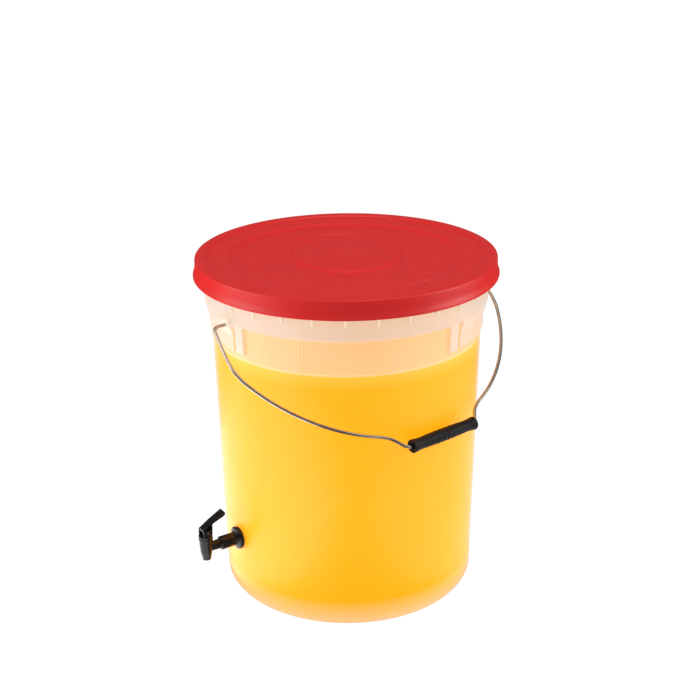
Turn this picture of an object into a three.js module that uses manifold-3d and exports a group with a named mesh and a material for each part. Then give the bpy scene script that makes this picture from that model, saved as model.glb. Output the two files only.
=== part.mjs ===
// Plastic fermenting bucket: a tapered tub, a press-fit lid with a sealing ring,
// a wire bail with a loose grip, and a lever tap clamped through the wall.
// Millimetres, +Z up. The origin is the centre of the flat underside of the base.
// X runs along the line of the bail's two pivots and the bail rests towards -Y.
// Directions round the tub are azimuths: 0 is -Y, +90 is +X and -90 is -X.

import * as THREE from "three";
import { mergeVertices } from "three/addons/utils/BufferGeometryUtils.js";
import Module from "manifold-3d";

const wasm = await Module();
wasm.setup();

const ROUND = 64;
const GAP = 0.3;

// Tub
const LID_TOP_Z = 384;
const BASE_R = 144.6;
const WALL_TAPER = 0.0154;
const WALL_T = 2;
const BASE_T = 2.6;
const BASE_CORNER = 6;
const GROOVE_R = 121;
const COLLAR_R = 156.2;
const COLLAR_Z = 338.4;
const COLLAR_T = 2.2;
const RIM_Z = 378.8;
const LIP_R = 162;
const LIP_DROP = 7.3;
const WEB_COUNT = 30;
const WEB_T = 1.6;
const WEB_FOOT_Z = 352;
const PLATE_AZIMUTH = 51.5;
const PLATE_HALF = 39;
const PLATE_R = 151.3;
const PLATE_FOOT_Z = 306;
const BRACE_OFFSET = 43.5;
const BRACE_HALF = 2.2;
const BRACE_R = 153;
const BRACE_FOOT_Z = 304.5;
const RIDGE_AZIMUTHS = [-56.5, -27, 123.5, 153];
const RIDGE_FOOT_Z = 296;

// Bail
const PIVOT_Z = 337;
const BOSS_R = 5.6;
const BOSS_X = 160;
const WIRE_R = 1.85;
const WIRE_HOLE_R = 2.2;
const WIRE_HOLE_X = 150.8;
const WIRE_END_X = 154.2;
const BEND_X = 177.7;
const BEND_R = 6;
const BOW_R = 195;
const BOW_SET_BACK = 8;
const BAIL_REACH = 195.5;
const BAIL_END_PLAY = 2.6;
const BAIL_REST_DEG = 37.2;
const GRIP_SHIFT = 2;
const GRIP_LENGTH = 89;
const GRIP_END_R = 7.3;
const GRIP_WAIST_R = 6.2;
const GRIP_BORE_R = 3.2;

// Lid
const LID_R = 165;
const SKIRT_R = 167.6;
const SKIRT_FOOT_Z = 364.2;
const LID_T = 2;
const PLUG_R = 153.3;
const PLUG_FOOT_Z = 367.9;
const BAND_R = 126.4;
const INNER_R = 88;
const CENTRE_R = 60;
const PANEL_DROP = 4.4;
const BAND_RISE = 2.6;
const RING_DROP = 0.6;
const CENTRE_RISE = 1.2;

// Tap
const TAP_AZIMUTH = -95.5;
const TAP_Z = 74.6;
const TAP_PAD_R = 15;
const TAP_PAD_OUT = 1;
const TAP_PAD_IN = 4;
const SHANK_R = 8;
const SHANK_HOLE_R = 8.35;
const FLANGE_R = 13;
const WASHER_R = 12.6;
const WASHER_T = 2;
const NUT_CORNER_R = 13.4;
const NUT_T = 6.3;
const CHAMBER_U = 43;
const CHAMBER_R = 7.6;
const CHAMBER_TOP = 12.4;
const CHAMBER_FOOT = -14;
const CHAMBER_BORE_R = 4.8;
const SEAT_W = -5;
const OUTLET_R = 3.2;
const BONNET_TOP = 16.4;
const LUG_HALF = 5;
const LUG_RISE = 3.6;
const LUG_INNER = 5.4;
const LUG_OUTER = 6.8;
const PIN_W = 20.5;
const PIN_R = 1.1;
const PIN_HOLE_R = 1.35;
const CAM_R = 2.9;
const CAM_LIFT = 1.3;
const CAM_INNER = 1.9;
const CAM_OUTER = 3.2;
const LEVER_SWING_DEG = 45;
const STEM_R = 1.6;
const LEVER_HALF = 5;
const SPRING_TURNS = 5;
const SPRING_R = 3.8;
const SPRING_WIRE_R = 0.35;

const rad = THREE.MathUtils.degToRad;

const natural = new THREE.MeshStandardMaterial({
  color: 0xf3e6d4,
  roughness: 0.35,
  transparent: true,
  opacity: 0.75,
});
const redPlastic = new THREE.MeshStandardMaterial({ color: 0xd33836, roughness: 0.4 });
const softSeal = new THREE.MeshStandardMaterial({ color: 0xe9e6df, roughness: 0.7 });
const blackRubber = new THREE.MeshStandardMaterial({ color: 0x1b1b1b, roughness: 0.8 });
const blackPlastic = new THREE.MeshStandardMaterial({ color: 0x222121, roughness: 0.4 });
const zincSteel = new THREE.MeshStandardMaterial({ color: 0xb6a181, roughness: 0.3, metalness: 1 });
const springSteel = new THREE.MeshStandardMaterial({ color: 0xc9c9c9, roughness: 0.25, metalness: 1 });

// Solids

function solid(geometry) {
  const bare = geometry.clone();
  bare.deleteAttribute("normal");
  bare.deleteAttribute("uv");
  const merged = mergeVertices(bare, 1e-4);
  return new wasm.Manifold(new wasm.Mesh({
    numProp: 3,
    vertProperties: new Float32Array(merged.attributes.position.array),
    triVerts: new Uint32Array(merged.index.array),
  }));
}

function mesh(name, body, material) {
  const result = body.getMesh();
  const geometry = new THREE.BufferGeometry();
  const positions = new THREE.BufferAttribute(new Float32Array(result.vertProperties), 3);
  geometry.setAttribute("position", positions);
  geometry.setIndex(new THREE.BufferAttribute(new Uint32Array(result.triVerts), 1));
  const part = new THREE.Mesh(geometry, material);
  part.name = name;
  return part;
}

// A closed outline of [radius, height] pairs turned about Z.
function turned(outline, segments = ROUND) {
  const points = outline.map(([r, z]) => new THREE.Vector2(r, z));
  if (outline[0][0] > 0) {
    points.push(points[0].clone());
  }
  return solid(new THREE.LatheGeometry(points, segments).rotateX(Math.PI / 2));
}

// A closed outline of [x, y] pairs raised along Z from low to high.
function raised(outline, low, high) {
  const shape = new THREE.Shape(outline.map(([x, y]) => new THREE.Vector2(x, y)));
  const geometry = new THREE.ExtrudeGeometry(shape, { depth: high - low, bevelEnabled: false });
  return solid(geometry.translate(0, 0, low));
}

function cylinder(radius, low, high, segments) {
  return turned([[0, low], [radius, low], [radius, high], [0, high]], segments);
}

function outward(azimuth, radius) {
  const angle = rad(azimuth);
  return [radius * Math.sin(angle), -radius * Math.cos(angle)];
}

// Stands a flat side outline up, so that its first number points along +Y.
function upright(body) {
  return body.rotate([90, 0, 0]).rotate([0, 0, 90]);
}

// Turns a solid drawn pointing along -Y to the azimuth it belongs at.
function facing(body, azimuth) {
  return body.rotate([0, 0, azimuth]);
}

// The part of a ring that lies within an angle of an azimuth.
function sector(ring, azimuth, half) {
  const wedge = raised([[0, 0], outward(-half, 400), outward(half, 400)], -10, 500);
  return ring.intersect(facing(wedge, azimuth));
}

function wallRadius(z) {
  return BASE_R + WALL_TAPER * z;
}

// Tub

function tubShell() {
  const shoulder = COLLAR_Z + COLLAR_T;
  const inner = COLLAR_R - COLLAR_T;
  const innerBase = BASE_R - WALL_T;
  return turned([
    [0, 0],
    [GROOVE_R - 3, 0],
    [GROOVE_R - 2, 1],
    [GROOVE_R + 2, 1],
    [GROOVE_R + 3, 0],
    [BASE_R - BASE_CORNER, 0],
    [BASE_R - 0.5 * BASE_CORNER, 0.134 * BASE_CORNER],
    [BASE_R - 0.134 * BASE_CORNER, 0.5 * BASE_CORNER],
    [wallRadius(BASE_CORNER), BASE_CORNER],
    [wallRadius(COLLAR_Z), COLLAR_Z - 0.6],
    [COLLAR_R - 0.5, COLLAR_Z - 0.4],
    [COLLAR_R, COLLAR_Z],
    [COLLAR_R, RIM_Z - 2.2],
    [LIP_R - 2, RIM_Z - 2.2],
    [LIP_R - 2, RIM_Z - LIP_DROP],
    [LIP_R, RIM_Z - LIP_DROP],
    [LIP_R, RIM_Z - 0.6],
    [LIP_R - 0.6, RIM_Z],
    [inner + 0.8, RIM_Z],
    [inner, RIM_Z - 0.8],
    [inner, shoulder + 0.8],
    [inner - 0.8, shoulder],
    [wallRadius(shoulder) - WALL_T, shoulder - 0.8],
    [wallRadius(BASE_CORNER) - WALL_T, BASE_CORNER + 1],
    [innerBase - 1.6, BASE_T + 1.6],
    [innerBase - 5, BASE_T],
    [0, BASE_T],
  ]);
}

// Upright webs between the collar and the turned-down lip of the rim.
function rimWebs() {
  const top = RIM_Z - 1;
  const profile = [
    [COLLAR_R - 1, WEB_FOOT_Z],
    [COLLAR_R + 0.6, WEB_FOOT_Z + 1],
    [LIP_R - 1, WEB_FOOT_Z + 15],
    [LIP_R - 1, top],
    [COLLAR_R - 1, top],
  ];
  const web = raised(profile, -WEB_T / 2, WEB_T / 2).rotate([90, 0, 0]).rotate([0, 0, -90]);
  const webs = [];
  for (let i = 0; i < WEB_COUNT; i += 1) {
    webs.push(facing(web, (i + 0.75) * (360 / WEB_COUNT)));
  }
  return wasm.Manifold.union(webs);
}

// Two broad plates under the collar, and the narrower braces at their ends.
function collarPlates() {
  const buried = PLATE_R - 2.6;
  const plateRing = turned([
    [buried, PLATE_FOOT_Z],
    [PLATE_R, PLATE_FOOT_Z + 0.8],
    [PLATE_R + 0.2, 322],
    [COLLAR_R - 1.4, 333],
    [COLLAR_R - 0.2, COLLAR_Z + 0.8],
    [buried, COLLAR_Z + 0.8],
  ]);
  const braceRing = turned([
    [buried, BRACE_FOOT_Z],
    [BRACE_R, BRACE_FOOT_Z + 3],
    [BRACE_R + 1, COLLAR_Z + 0.8],
    [buried, COLLAR_Z + 0.8],
  ]);
  const pieces = [];
  for (const side of [PLATE_AZIMUTH, PLATE_AZIMUTH + 180]) {
    pieces.push(sector(plateRing, side, PLATE_HALF));
    pieces.push(sector(braceRing, side - BRACE_OFFSET, BRACE_HALF));
    pieces.push(sector(braceRing, side + BRACE_OFFSET, BRACE_HALF));
  }
  return wasm.Manifold.union(pieces);
}

// Pairs of fine upright ridges on the band below the collar.
function ridges() {
  const ring = turned([
    [wallRadius(RIDGE_FOOT_Z) - 1, RIDGE_FOOT_Z],
    [wallRadius(RIDGE_FOOT_Z) + 0.7, RIDGE_FOOT_Z + 1],
    [wallRadius(COLLAR_Z) + 0.7, COLLAR_Z],
    [wallRadius(COLLAR_Z) - 1, COLLAR_Z],
  ]);
  const pairs = [];
  for (const azimuth of RIDGE_AZIMUTHS) {
    pairs.push(sector(ring, azimuth - 0.8, 0.3));
    pairs.push(sector(ring, azimuth + 0.8, 0.3));
  }
  return wasm.Manifold.union(pairs);
}

function bailBosses(radius, inner, outer) {
  const boss = cylinder(radius, inner, outer, 24).rotate([0, 90, 0]).translate([0, 0, PIVOT_Z]);
  return boss.add(boss.rotate([0, 0, 180]));
}

function tub() {
  const pad = cylinder(TAP_PAD_R, -TAP_PAD_IN, TAP_PAD_OUT, 40);
  const hole = cylinder(SHANK_HOLE_R, -TAP_PAD_IN - 4, TAP_PAD_OUT + 4, 40);
  return tubShell()
    .add(rimWebs())
    .add(collarPlates())
    .add(ridges())
    .add(bailBosses(BOSS_R, wallRadius(PIVOT_Z) - 1, BOSS_X))
    .add(alongTap(pad))
    .subtract(bailBosses(WIRE_HOLE_R, WIRE_HOLE_X, BOSS_X + 5))
    .subtract(alongTap(hole));
}

// Lid and seal

function lid() {
  const panel = LID_TOP_Z - PANEL_DROP;
  const ring = panel - RING_DROP;
  const band = panel + BAND_RISE;
  const centre = panel + CENTRE_RISE;
  return turned([
    [0, ring - LID_T],
    [INNER_R - 1, ring - LID_T],
    [INNER_R, panel - LID_T],
    [BAND_R - 1.5, panel - LID_T],
    [BAND_R + 1, band - LID_T],
    [PLUG_R - LID_T, band - LID_T],
    [PLUG_R - LID_T, PLUG_FOOT_Z],
    [PLUG_R - 0.6, PLUG_FOOT_Z],
    [PLUG_R, PLUG_FOOT_Z + 0.6],
    [PLUG_R, LID_TOP_Z - LID_T],
    [LID_R - 1.9, LID_TOP_Z - LID_T],
    [LID_R - 1.9, 371.1],
    [LIP_R + 0.3, 370.2],
    [LID_R - 1.7, 369.2],
    [SKIRT_R - 2.2, SKIRT_FOOT_Z + 0.4],
    [SKIRT_R - 2, SKIRT_FOOT_Z],
    [SKIRT_R - 0.4, SKIRT_FOOT_Z],
    [SKIRT_R, SKIRT_FOOT_Z + 0.5],
    [SKIRT_R, SKIRT_FOOT_Z + 1.7],
    [SKIRT_R - 0.5, SKIRT_FOOT_Z + 2.3],
    [LID_R + 0.4, 372.4],
    [LID_R, LID_TOP_Z - 1.1],
    [LID_R - 1, LID_TOP_Z],
    [PLUG_R + 0.9, LID_TOP_Z],
    [PLUG_R - 0.7, band + 0.1],
    [BAND_R - 0.6, band],
    [BAND_R - 5.4, panel],
    [INNER_R, panel],
    [INNER_R - 0.8, ring],
    [CENTRE_R, ring],
    [CENTRE_R - 4.6, centre],
    [0, centre],
  ]);
}

function lidSeal() {
  const low = RIM_Z + GAP;
  const high = LID_TOP_Z - LID_T - GAP;
  return turned([
    [155.2, low],
    [160.8, low],
    [161.4, (low + high) / 2],
    [160.8, high],
    [155.2, high],
    [154.6, (low + high) / 2],
  ]);
}

// Bail: a planar path drawn with x along the pivots and y out from them.

class WirePath extends THREE.Curve {
  constructor(points) {
    super();
    this.points = points;
  }

  getPoint(t) {
    const place = t * (this.points.length - 1);
    const i = Math.min(Math.floor(place + 1e-6), this.points.length - 2);
    return this.points[i].clone().lerp(this.points[i + 1], place - i);
  }

  getPointAt(u) {
    return this.getPoint(u);
  }

  getTangentAt(u) {
    const step = 1 / (this.points.length - 1);
    const before = this.getPoint(Math.max(0, u - step));
    const after = this.getPoint(Math.min(1, u + step));
    return after.sub(before).normalize();
  }
}

function arc(cx, cy, radius, startDeg, endDeg, count) {
  const points = [];
  for (let i = 0; i <= count; i += 1) {
    const angle = rad(startDeg + ((endDeg - startDeg) * i) / count);
    points.push([cx + radius * Math.cos(angle), cy + radius * Math.sin(angle)]);
  }
  return points;
}

function bailWire() {
  const right = [
    [WIRE_END_X, 0],
    ...arc(BEND_X - BEND_R, BEND_R, BEND_R, -90, -10, 4),
    [BEND_X + 2.9, 24],
    [BEND_X + 4.8, 41],
    [BEND_X + 5.4, 56],
    ...arc(0, -BOW_SET_BACK, BOW_R, 22, 69, 14),
    [60.5, 179.4],
    [57, 183],
    [53.6, 187.6],
    [50.4, 192],
    [46.5, BAIL_REACH - 0.4],
    [42.5, BAIL_REACH],
  ];
  const left = right.map(([x, y]) => [-x, y]).reverse();
  const path = [...right, ...left].map(([x, y]) => new THREE.Vector3(x, y, 0));
  const ring = new THREE.Shape();
  ring.absarc(0, 0, WIRE_R, 0, 2 * Math.PI, false);
  const settings = {
    steps: path.length - 1,
    curveSegments: 5,
    bevelEnabled: false,
    extrudePath: new WirePath(path),
  };
  return solid(new THREE.ExtrudeGeometry(ring, settings));
}

function bailGrip() {
  const half = GRIP_LENGTH / 2;
  const swell = GRIP_END_R - 0.3;
  return turned([
    [GRIP_BORE_R, -half],
    [GRIP_END_R - 0.7, -half],
    [GRIP_END_R, -half + 1],
    [GRIP_END_R, -half + 5],
    [GRIP_WAIST_R, -half + 11],
    [swell, -half + 20],
    [GRIP_END_R, 0],
    [swell, half - 20],
    [GRIP_WAIST_R, half - 11],
    [GRIP_END_R, half - 5],
    [GRIP_END_R, half - 1],
    [GRIP_END_R - 0.7, half],
    [GRIP_BORE_R, half],
  ], 24);
}

// From the flat drawing to its place: out from the pivots and down at the rest angle.
function hung(body) {
  return body.rotate([180 + BAIL_REST_DEG, 0, 0]).translate([BAIL_END_PLAY, 0, PIVOT_Z]);
}

// Tap, drawn with its shank along Z from the outside of the wall, then laid out
// from the wall. Upright pieces are drawn round the chamber and moved with it.

function alongTap(body) {
  const [x, y] = outward(TAP_AZIMUTH, wallRadius(TAP_Z));
  return facing(body.rotate([90, 0, 0]), TAP_AZIMUTH).translate([x, y, TAP_Z]);
}

function atChamber(body) {
  const [x, y] = outward(TAP_AZIMUTH, wallRadius(TAP_Z) + CHAMBER_U);
  return facing(body, TAP_AZIMUTH).translate([x, y, TAP_Z]);
}

function ringWasher(low) {
  const inner = SHANK_R + GAP;
  const high = low + WASHER_T;
  return turned([[inner, low], [WASHER_R, low], [WASHER_R, high], [inner, high]], 40);
}

const FLANGE_U = TAP_PAD_OUT + WASHER_T + 2 * GAP;
const NUT_U = -TAP_PAD_IN - WASHER_T - 2 * GAP;

function tapBody() {
  const shank = turned([
    [0, -22],
    [SHANK_R - 0.8, -22],
    [SHANK_R, -21],
    [SHANK_R, FLANGE_U],
    [FLANGE_R, FLANGE_U],
    [FLANGE_R, FLANGE_U + 1.6],
    [FLANGE_R - 1.2, FLANGE_U + 3],
    [9, FLANGE_U + 3.4],
    [7.6, FLANGE_U + 5],
    [7.6, 25.6],
    [7, 26.6],
    [4.9, 27.4],
    [4.7, 36],
    [5.6, 40],
    [0, 40],
  ], 32);
  const chamber = turned([
    [0, CHAMBER_FOOT],
    [4.2, CHAMBER_FOOT],
    [4.8, CHAMBER_FOOT + 0.6],
    [6.4, SEAT_W - 1],
    [CHAMBER_R - 0.2, CHAMBER_TOP - 8],
    [CHAMBER_R, CHAMBER_TOP],
    [0, CHAMBER_TOP],
  ], 32);
  const chamberBore = turned([
    [0, CHAMBER_FOOT - 1],
    [OUTLET_R, CHAMBER_FOOT - 1],
    [OUTLET_R, SEAT_W],
    [CHAMBER_BORE_R, SEAT_W],
    [CHAMBER_BORE_R, CHAMBER_TOP + 1],
    [0, CHAMBER_TOP + 1],
  ], 24);
  const waterway = turned([
    [0, -23],
    [5.4, -23],
    [5.4, 24],
    [2.8, 26],
    [2.8, CHAMBER_U],
    [0, CHAMBER_U],
  ], 24);
  return alongTap(shank)
    .add(atChamber(chamber))
    .subtract(atChamber(chamberBore))
    .subtract(alongTap(waterway));
}

function tapBackNut() {
  const blank = cylinder(NUT_CORNER_R, NUT_U - NUT_T, NUT_U, 6);
  return blank.subtract(cylinder(SHANK_R + GAP, NUT_U - NUT_T - 1, NUT_U + 1, 32));
}

// A screwed cap with two lugs that carry the lever's pin.
function tapBonnet() {
  const cap = turned([
    [STEM_R + GAP, 9.4],
    [CHAMBER_BORE_R - GAP, 9.4],
    [CHAMBER_BORE_R - GAP, CHAMBER_TOP + GAP],
    [CHAMBER_R + 0.2, CHAMBER_TOP + GAP],
    [CHAMBER_R + 0.2, BONNET_TOP - 0.8],
    [CHAMBER_R - 0.6, BONNET_TOP],
    [STEM_R + GAP, BONNET_TOP],
  ], 32);
  const lugTop = PIN_W + LUG_RISE;
  const outline = [
    [-LUG_HALF, BONNET_TOP - 1],
    [LUG_HALF, BONNET_TOP - 1],
    [LUG_HALF, lugTop - 1],
    [LUG_HALF - 1, lugTop],
    [-LUG_HALF + 1, lugTop],
    [-LUG_HALF, lugTop - 1],
  ];
  const lugs = acrossTap(outline, LUG_INNER, LUG_OUTER);
  const hole = cylinder(PIN_HOLE_R, -9, 9, 16).rotate([0, 90, 0]).translate([0, 0, PIN_W]);
  return cap.add(lugs).subtract(hole);
}

// A side outline of [inward, up] pairs made into a cheek on each side of the chamber.
function acrossTap(outline, near, far) {
  const cheek = upright(raised(outline, near, far));
  return cheek.add(cheek.mirror([1, 0, 0]));
}

function tapPin() {
  return cylinder(PIN_R, -6.9, 6.9, 16).rotate([0, 90, 0]).translate([0, 0, PIN_W]);
}

function camOutline() {
  const points = [];
  const growth = CAM_LIFT / LEVER_SWING_DEG;
  for (let angle = 10; angle <= 370; angle += 20) {
    const turn = THREE.MathUtils.clamp(90 - angle, 0, LEVER_SWING_DEG);
    const radius = angle > 280 ? CAM_R : CAM_R + growth * turn;
    points.push([radius * Math.cos(rad(angle)), PIN_W + radius * Math.sin(rad(angle))]);
  }
  return points;
}

function tapLever() {
  const outline = [
    [-4.5, 0.6],
    [-2.4, -1.9],
    [0, -2.9],
    [6.6, -2.9],
    [7, 9.4],
    [21, 14.4],
    [23.2, 16.4],
    [23, 18.6],
    [21, 19.6],
    [7, 12],
    [-4.8, 4.6],
  ].map(([inward, up]) => [inward, PIN_W + up]);
  const cavity = [
    [-8, -4],
    [5.4, -4],
    [5.4, 8.8],
    [-8, 0.4],
  ].map(([inward, up]) => [inward, PIN_W + up]);
  const whole = upright(raised(outline, -LEVER_HALF, LEVER_HALF));
  const hollow = upright(raised(cavity, 2 - LEVER_HALF, LEVER_HALF - 2));
  const lobes = acrossTap(camOutline(), CAM_INNER, CAM_OUTER);
  const hole = cylinder(PIN_HOLE_R, -9, 9, 16).rotate([0, 90, 0]).translate([0, 0, PIN_W]);
  return whole.subtract(hollow).add(lobes).subtract(hole);
}

// The stem ends in a cross bar that sits on the lever's two cam lobes.
function tapStem() {
  const top = PIN_W + CAM_R + 1.72;
  const rod = turned([
    [0, -3],
    [2.2, -3],
    [2.2, -1.9],
    [STEM_R, -1.7],
    [STEM_R, 17.2],
    [0, 17.2],
  ], 16);
  const plate = acrossTap([
    [-2.3, 16.8],
    [2.3, 16.8],
    [2.3, PIN_W + CAM_R + 0.4],
    [0.6, top],
    [-0.6, top],
    [-2.3, PIN_W + CAM_R + 0.4],
  ], 0, 0.9);
  const bar = acrossTap([
    [-0.6, PIN_W + CAM_R + 0.32],
    [0.6, PIN_W + CAM_R + 0.32],
    [0.6, top],
    [-0.6, top],
  ], 0, 2.6);
  const slotLow = PIN_W - CAM_LIFT - 1.4;
  const slotHigh = PIN_W + 1.4;
  const slot = [[-1.4, slotLow], [1.4, slotLow], [1.4, slotHigh], [-1.4, slotHigh]];
  return rod.add(plate).add(bar).subtract(acrossTap(slot, 0, 3));
}

function tapSeatCup() {
  const low = SEAT_W + GAP;
  return turned([
    [0, low],
    [CHAMBER_BORE_R - 0.5, low],
    [CHAMBER_BORE_R - 0.5, low + 2.4],
    [3, low + 2.6],
    [2.9, 0.8],
    [STEM_R + GAP, 0.8],
    [STEM_R + GAP, -1.4],
    [2.5, -1.7],
    [2.5, -3.3],
    [0, -3.3],
  ], 24);
}

function tapSpring() {
  const perTurn = 10;
  const count = SPRING_TURNS * perTurn;
  const low = SEAT_W + GAP + 2.6 + 0.7;
  const high = 8.7;
  const points = [];
  for (let i = 0; i <= count; i += 1) {
    const angle = (2 * Math.PI * i) / perTurn;
    const height = low + ((high - low) * i) / count;
    points.push(new THREE.Vector3(SPRING_R * Math.cos(angle), SPRING_R * Math.sin(angle), height));
  }
  const ring = new THREE.Shape();
  ring.absarc(0, 0, SPRING_WIRE_R, 0, 2 * Math.PI, false);
  const settings = {
    steps: points.length - 1,
    curveSegments: 3,
    bevelEnabled: false,
    extrudePath: new WirePath(points),
  };
  return solid(new THREE.ExtrudeGeometry(ring, settings));
}

const grip = bailGrip().rotate([0, 90, 0]).translate([GRIP_SHIFT, BAIL_REACH, 0]);

const bucket = new THREE.Group();
bucket.name = "fermenting_bucket";
bucket.add(
  mesh("bucket_body", tub(), natural),
  mesh("lid", lid(), redPlastic),
  mesh("lid_seal", lidSeal(), softSeal),
  mesh("bail_wire", hung(bailWire()), zincSteel),
  mesh("bail_grip", hung(grip), blackPlastic),
  mesh("tap_body", tapBody(), blackPlastic),
  mesh("tap_outer_washer", alongTap(ringWasher(TAP_PAD_OUT + GAP)), blackRubber),
  mesh("tap_inner_washer", alongTap(ringWasher(-TAP_PAD_IN - GAP - WASHER_T)), blackRubber),
  mesh("tap_back_nut", alongTap(tapBackNut()), blackPlastic),
  mesh("tap_bonnet", atChamber(tapBonnet()), blackPlastic),
  mesh("tap_pin", atChamber(tapPin()), springSteel),
  mesh("tap_lever", atChamber(tapLever()), blackPlastic),
  mesh("tap_stem", atChamber(tapStem()), blackPlastic),
  mesh("tap_seat_cup", atChamber(tapSeatCup()), softSeal),
  mesh("tap_spring", atChamber(tapSpring()), springSteel),
);

export default bucket;
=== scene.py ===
"""Plastic fermenting bucket: the finished look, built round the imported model.

A tapered tub of natural polyethylene holds a cloudy fruit drink under a red
press-fit lid. A bright wire bail with a loose black grip hangs from two bosses, and
a black lever tap is clamped through the wall.

Lengths are millimetres until a mesh is written, and angles are degrees. Directions
round the tub are azimuths: 0 is -Y, +90 is +X and -90 is -X.
"""

import logging
import math
from dataclasses import dataclass, field
from enum import Enum

import bmesh
import bpy
import numpy as np
from mathutils import Euler, Matrix, Vector

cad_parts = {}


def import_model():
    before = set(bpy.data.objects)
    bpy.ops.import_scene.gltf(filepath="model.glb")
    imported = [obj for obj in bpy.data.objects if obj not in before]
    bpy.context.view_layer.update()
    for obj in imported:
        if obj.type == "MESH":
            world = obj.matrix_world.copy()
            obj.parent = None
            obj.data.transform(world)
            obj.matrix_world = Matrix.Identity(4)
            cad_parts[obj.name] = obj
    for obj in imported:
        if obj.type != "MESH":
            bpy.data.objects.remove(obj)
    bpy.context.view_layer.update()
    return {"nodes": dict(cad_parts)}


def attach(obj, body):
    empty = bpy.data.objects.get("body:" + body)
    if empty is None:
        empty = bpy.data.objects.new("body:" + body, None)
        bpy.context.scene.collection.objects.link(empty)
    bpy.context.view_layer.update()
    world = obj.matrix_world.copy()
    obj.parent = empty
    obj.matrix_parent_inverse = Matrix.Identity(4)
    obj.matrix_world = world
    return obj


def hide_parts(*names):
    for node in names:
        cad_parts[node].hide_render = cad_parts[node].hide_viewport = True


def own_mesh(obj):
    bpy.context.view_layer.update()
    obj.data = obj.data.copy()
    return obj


MM = 0.001
# Nearly all of a noise texture's values lie between these.
NOISE_LOW, NOISE_HIGH = 0.3, 0.7
LOG = logging.getLogger("fermenting_bucket")


# Shapes


def rounded(corners: list[tuple[float, float, float]], steps: int = 5,
            closed: bool = False) -> np.ndarray:
    """Softens the corners of an outline.

    Each corner gives way to a parabola that leaves one edge a set reach before it and
    joins the next edge the same reach after it:
    (1 - s)^2 before + 2 s (1 - s) corner + s^2 after, for s from 0 to 1.

    Args:
        corners: rows of (across, up, reach).
        steps: points on each parabola.
        closed: whether the last row joins the first; otherwise both ends stay sharp.

    Returns:
        The softened outline, one row of (across, up) a point.
    """
    table = np.array(corners, float)
    points, reach = table[:, :2], table[:, 2:]
    back = np.roll(points, 1, axis=0) - points
    ahead = np.roll(points, -1, axis=0) - points
    back /= np.linalg.norm(back, axis=1, keepdims=True)
    ahead /= np.linalg.norm(ahead, axis=1, keepdims=True)
    s = np.linspace(0, 1, steps)[None, :, None]
    before = (points + reach * back)[:, None]
    after = (points + reach * ahead)[:, None]
    curve = (1 - s) ** 2 * before + 2 * s * (1 - s) * points[:, None] + s**2 * after
    if closed:
        return curve.reshape(-1, 2)
    return np.vstack([points[:1], curve[1:-1].reshape(-1, 2), points[-1:]])


def turned(profile: np.ndarray, azimuths: np.ndarray) -> np.ndarray:
    """A surface of revolution about Z: (r sin a, -r cos a, z) for each (r, z) and a.

    Args:
        profile: rows of (radius, height), running up the outside.
        azimuths: the directions, in degrees.

    Returns:
        Points on a grid of azimuth by profile.
    """
    a = np.radians(azimuths)[:, None]
    r, z = profile[:, 0], profile[:, 1]
    return np.stack([r * np.sin(a), -r * np.cos(a), z + 0 * a], axis=-1)


def full_circle(count: int) -> np.ndarray:
    """Evenly spaced azimuths once round."""
    return np.arange(count) * 360.0 / count


def inset(outline: np.ndarray, by: np.ndarray) -> np.ndarray:
    """Moves a closed outline inward along its mitred corners.

    The mitre at a corner is the sum of its two edge normals over one plus their dot
    product, which keeps both edges parallel to where they were.

    Args:
        outline: rows of (across, up), anticlockwise.
        by: distances to move, one a copy.

    Returns:
        Copies of the outline on a grid of corner by distance.
    """
    edge = np.roll(outline, -1, axis=0) - outline
    edge /= np.linalg.norm(edge, axis=1, keepdims=True)
    normal = np.stack([edge[:, 1], -edge[:, 0]], axis=1)
    other = np.roll(normal, 1, axis=0)
    dot = np.sum(normal * other, axis=1, keepdims=True)
    mitre = (normal + other) / np.maximum(1 + dot, 0.4)
    return outline[:, None] - by[None, :, None] * mitre[:, None]


def slab(outline: np.ndarray, low: float, high: float, ease: float) -> np.ndarray:
    """A flat plate with rounded edges, from a closed outline in the YZ plane.

    Across the plate the outline is drawn in by ease (1 - cos t) while X runs over
    ease (1 - sin t), a quarter circle at each face.

    Args:
        outline: rows of (y, z), anticlockwise seen from +X.
        low: X of one face.
        high: X of the other face.
        ease: radius of the rounded edges.

    Returns:
        Points on a grid of outline by width.
    """
    t = np.radians([90, 60, 30, 0])
    over, drawn = ease * (1 - np.sin(t)), ease * (1 - np.cos(t))
    x = np.concatenate([low + over, high - over[::-1]])
    drawn = np.concatenate([drawn, drawn[::-1]])
    copies = inset(outline, drawn)
    across = np.broadcast_to(x[None, :, None], copies.shape[:2] + (1,))
    return np.concatenate([across, copies], axis=-1)


def evened(path: np.ndarray, pitch: float, blur: float) -> np.ndarray:
    """Spaces a path's points evenly, then rounds its bends.

    Points are read off at equal arc lengths, and each becomes a mean of its
    neighbours weighted by a bell curve. The ends are run on straight, so that they
    stay where they are.

    Args:
        path: rows of (x, y).
        pitch: distance between points.
        blur: the bell curve's spread, as a length along the path.

    Returns:
        The new path.
    """
    length = np.concatenate([[0], np.cumsum(np.linalg.norm(np.diff(path, axis=0), axis=1))])
    at = np.linspace(0, length[-1], int(length[-1] / pitch) + 1)
    even = np.stack([np.interp(at, length, path[:, i]) for i in (0, 1)], axis=1)
    reach = int(math.ceil(3 * blur / pitch))
    run = np.arange(reach, 0, -1)[:, None]
    before = even[0] + run * (even[0] - even[1])
    after = even[-1] + run[::-1] * (even[-1] - even[-2])
    longer = np.vstack([before, even, after])
    bell = np.exp(-0.5 * (np.arange(-reach, reach + 1) * pitch / blur) ** 2)
    bell /= bell.sum()
    return np.stack([np.convolve(longer[:, i], bell, "valid") for i in (0, 1)], axis=1)


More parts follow.
